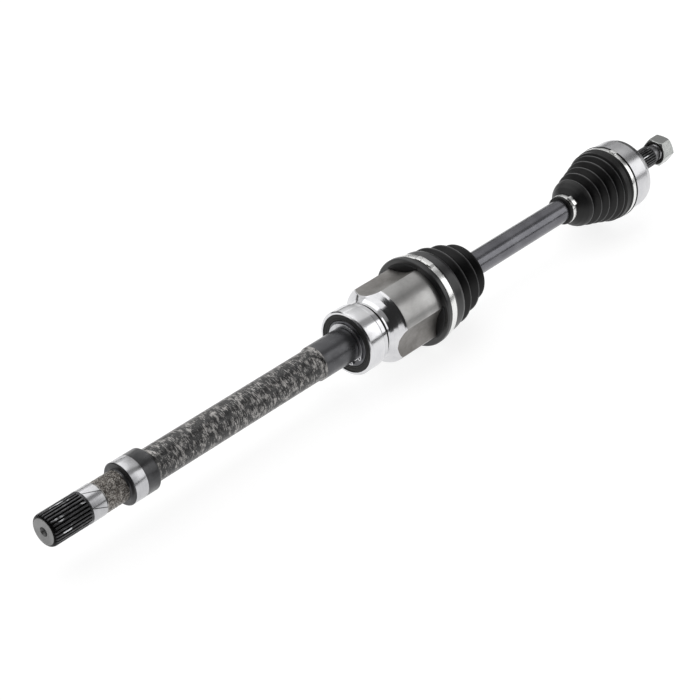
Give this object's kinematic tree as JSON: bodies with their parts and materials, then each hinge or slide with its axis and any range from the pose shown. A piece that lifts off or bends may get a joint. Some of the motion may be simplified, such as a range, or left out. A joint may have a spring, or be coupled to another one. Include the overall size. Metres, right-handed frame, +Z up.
{
  "type": "cv axle",
  "caption": "Drive axle with a splined intermediate shaft, support bearing, plunging tripod joint, half shaft and fixed ball joint with a splined, threaded stub.",
  "frame": {"origin": "on the axle's line, halfway between its gearbox end and its wheel end", "axes": "+X along the axle's line towards the wheel end, +Z up"},
  "size_m": [0.973, 0.1016, 0.1024],
  "materials": {
    "forged_steel": "forged and turned, oiled",
    "painted_steel": "dark grey satin paint",
    "ground_steel": "ground and polished",
    "pale_steel": "stainless strip, satin",
    "zinc_steel": "zinc plated",
    "black_rubber": "satin moulded rubber"
  },
  "bodies": {
    "support_bearing": {"bearing_outer_ring": "ground_steel", "bearing_seal_gearbox_side": "black_rubber", "bearing_seal_wheel_side": "black_rubber"},
    "bearing_cage": {"bearing_cage": "pale_steel", "bearing_ball_1": "ground_steel", "bearing_ball_2": "ground_steel", "bearing_ball_3": "ground_steel", "bearing_ball_4": "ground_steel", "bearing_ball_5": "ground_steel", "bearing_ball_6": "ground_steel", "bearing_ball_7": "ground_steel", "bearing_ball_8": "ground_steel", "bearing_ball_9": "ground_steel"},
    "inboard_shaft": {"intermediate_shaft": "forged_steel", "bearing_inner_ring": "ground_steel", "bearing_circlip": "pale_steel", "inner_boot_trilobe_bush": "black_rubber", "inner_boot_large_cuff": "black_rubber", "inner_boot_large_clamp": "pale_steel"},
    "plunge_carrier": {"inner_boot_plunging_pleats": "black_rubber"},
    "tilt_carrier": {"inner_boot_tilting_pleats": "black_rubber"},
    "half_shaft": {"halfshaft": "painted_steel", "inner_boot_swinging_pleats": "black_rubber", "inner_boot_small_cuff": "black_rubber", "inner_boot_small_clamp": "pale_steel", "tripod_spider": "ground_steel", "needle_sleeve_1": "pale_steel", "needle_sleeve_2": "pale_steel", "needle_sleeve_3": "pale_steel", "roller_clip_1": "pale_steel", "roller_clip_2": "pale_steel", "roller_clip_3": "pale_steel", "spider_circlip": "pale_steel", "outer_boot_small_cuff": "black_rubber", "outer_boot_small_clamp": "pale_steel", "cv_inner_race": "ground_steel", "race_circlip": "pale_steel"},
    "roller_1": {"roller_1": "ground_steel"},
    "roller_2": {"roller_2": "ground_steel"},
    "roller_3": {"roller_3": "ground_steel"},
    "cv_first_carrier": {"outer_boot_dome": "black_rubber"},
    "cv_cage": {"cv_ball_cage": "ground_steel", "cv_ball_1": "ground_steel", "cv_ball_2": "ground_steel", "cv_ball_3": "ground_steel", "cv_ball_4": "ground_steel", "cv_ball_5": "ground_steel", "cv_ball_6": "ground_steel", "outer_boot_first_pleats": "black_rubber"},
    "cv_second_carrier": {"outer_boot_second_pleats": "black_rubber"},
    "wheel_end": {"cv_bell_and_stub": "ground_steel", "axle_nut": "zinc_steel", "outer_boot_last_pleats": "black_rubber", "outer_boot_large_cuff": "black_rubber", "outer_boot_large_clamp": "pale_steel"}
  },
  "joints": [
    {"name": "driveline_spin", "type": "hinge", "parent": "support_bearing", "child": "inboard_shaft", "pos_m": [-0.0695, 0, 0], "axis": [1, 0, 0], "continuous": true},
    {"name": "bearing_cage_spin", "type": "hinge", "parent": "support_bearing", "child": "bearing_cage", "pos_m": [-0.0695, 0, 0], "axis": [1, 0, 0], "continuous": true},
    {"name": "inner_joint_plunge", "type": "slide", "parent": "inboard_shaft", "child": "plunge_carrier", "axis": [1, 0, 0], "range_m": [-0.013, 0.011], "deforming": ["inner_boot_plunging_pleats"]},
    {"name": "inner_joint_tilt", "type": "hinge", "parent": "plunge_carrier", "child": "tilt_carrier", "pos_m": [0.0195, 0, 0], "axis": [0, 1, 0], "range_deg": [-15, 15], "deforming": ["inner_boot_tilting_pleats"]},
    {"name": "inner_joint_swing", "type": "hinge", "parent": "tilt_carrier", "child": "half_shaft", "pos_m": [0.0195, 0, 0], "axis": [0, 0, 1], "range_deg": [-15, 15], "deforming": ["inner_boot_swinging_pleats"]},
    {"name": "roller_1_spin", "type": "hinge", "parent": "half_shaft", "child": "roller_1", "pos_m": [0.0195, 0, 0], "axis": [0, 0.9877, 0.1564], "range_deg": [-43.57, 51.47]},
    {"name": "roller_2_spin", "type": "hinge", "parent": "half_shaft", "child": "roller_2", "pos_m": [0.0195, 0, 0], "axis": [0, -0.6293, 0.7771], "range_deg": [-43.57, 51.47]},
    {"name": "roller_3_spin", "type": "hinge", "parent": "half_shaft", "child": "roller_3", "pos_m": [0.0195, 0, 0], "axis": [0, -0.3584, -0.9336], "range_deg": [-43.57, 51.47]},
    {"name": "outer_joint_tilt", "type": "hinge", "parent": "half_shaft", "child": "cv_first_carrier", "pos_m": [0.3705, 0, 0], "axis": [0, 1, 0], "range_deg": [-6, 6], "deforming": ["outer_boot_dome"]},
    {"name": "outer_joint_steer", "type": "hinge", "parent": "cv_first_carrier", "child": "cv_cage", "pos_m": [0.3705, 0, 0], "axis": [0, 0, 1], "range_deg": [-17, 17], "deforming": ["outer_boot_first_pleats"]},
    {"name": "outer_joint_steer_bell_half", "type": "hinge", "parent": "cv_cage", "child": "cv_second_carrier", "pos_m": [0.3705, 0, 0], "axis": [0, 0, 1], "range_deg": [-17, 17], "deforming": ["outer_boot_second_pleats"]},
    {"name": "outer_joint_tilt_bell_half", "type": "hinge", "parent": "cv_second_carrier", "child": "wheel_end", "pos_m": [0.3705, 0, 0], "axis": [0, 1, 0], "range_deg": [-6, 6], "deforming": ["outer_boot_last_pleats"]}
  ],
  "couplings": [
    {"joint": "bearing_cage_spin", "follows": "driveline_spin", "ratio": 0.4164},
    {"joint": "roller_1_spin", "follows": "inner_joint_plunge", "rad_per_m": -68.966},
    {"joint": "roller_2_spin", "follows": "inner_joint_plunge", "rad_per_m": -68.966},
    {"joint": "roller_3_spin", "follows": "inner_joint_plunge", "rad_per_m": -68.966},
    {"joint": "outer_joint_steer_bell_half", "follows": "outer_joint_steer", "ratio": 1},
    {"joint": "outer_joint_tilt_bell_half", "follows": "outer_joint_tilt", "ratio": 1}
  ]
}
